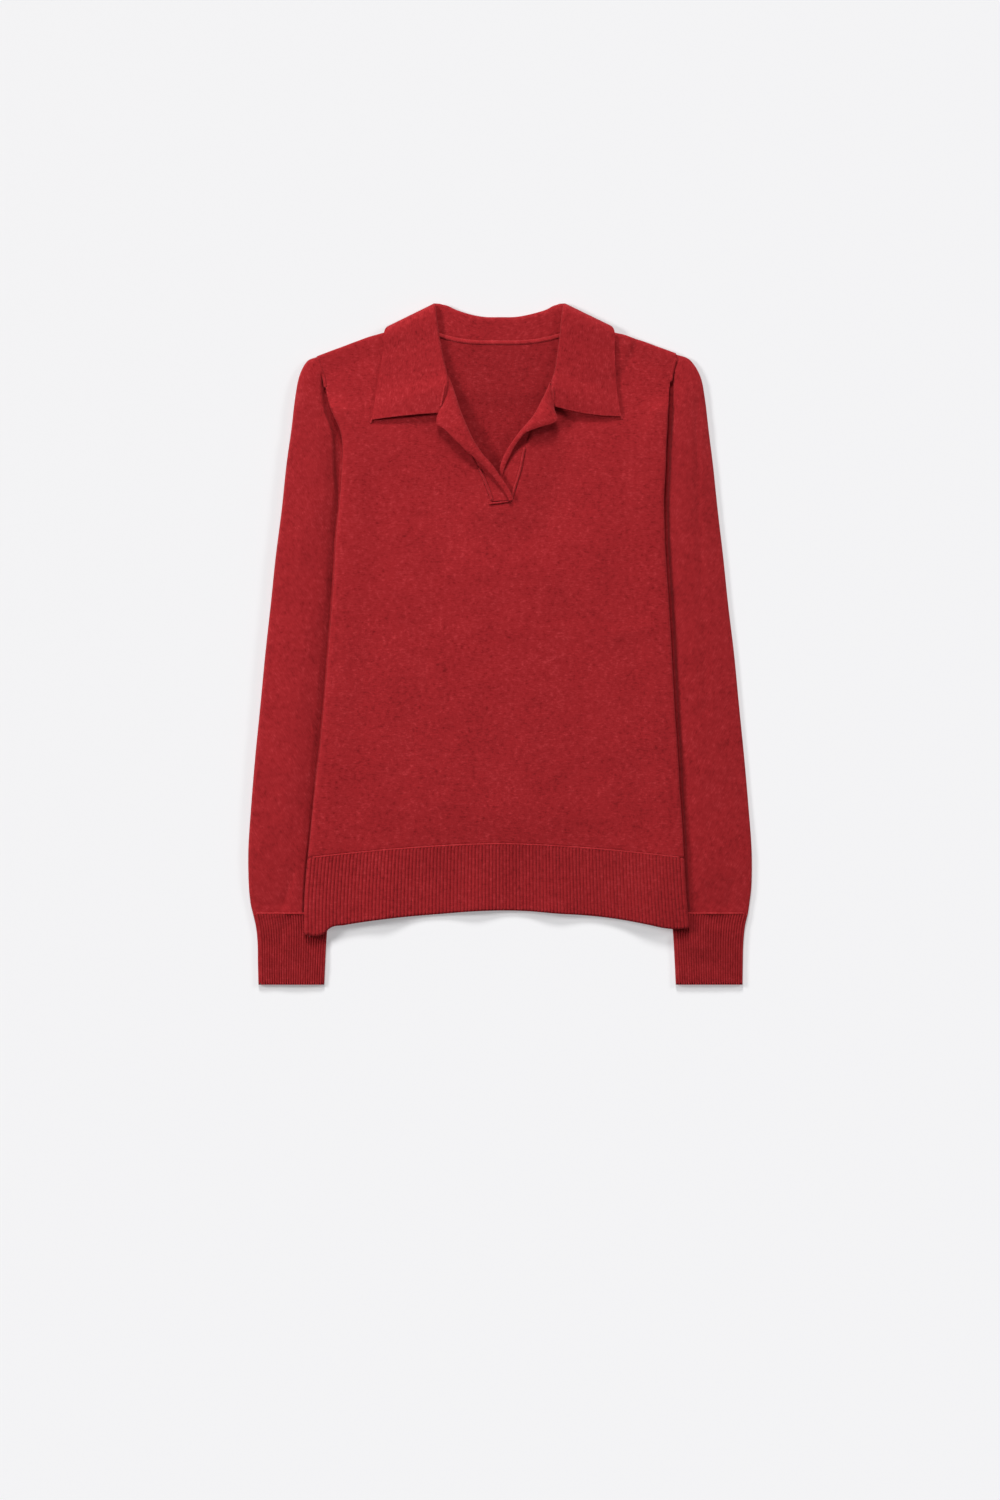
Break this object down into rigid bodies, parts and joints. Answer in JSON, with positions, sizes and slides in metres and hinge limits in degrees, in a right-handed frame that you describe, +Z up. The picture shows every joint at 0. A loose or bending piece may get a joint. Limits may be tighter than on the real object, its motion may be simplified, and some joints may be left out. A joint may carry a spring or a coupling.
{
  "type": "polo sweater",
  "caption": "Long-sleeved fine-knit polo sweater laid flat: open collar with fold-out placket, sleeves tucked beside the body, ribbed hem and cuffs.",
  "frame": {"origin": "middle of the laid-out sweater's outline, on the surface it lies on", "axes": "+X to the right of someone looking down at the front, +Y towards the collar, +Z up from the surface"},
  "size_m": [0.504, 0.683, 0.0135],
  "materials": {
    "jersey": "fine melange jersey knit, matt with a slight nap",
    "collar_knit": "close jersey knit, matt, a little firmer than the body",
    "rib": "one by one rib knit, matt"
  },
  "bodies": {
    "root": {"front_panel": "jersey", "back_panel": "jersey", "sleeve_left": "jersey", "sleeve_right": "jersey", "collar": "collar_knit", "back_neck_seam": "collar_knit", "placket_left": "collar_knit", "placket_right": "collar_knit", "hem_rib_front": "rib", "hem_rib_back": "rib", "cuff_left": "rib", "cuff_right": "rib"}
  },
  "joints": []
}
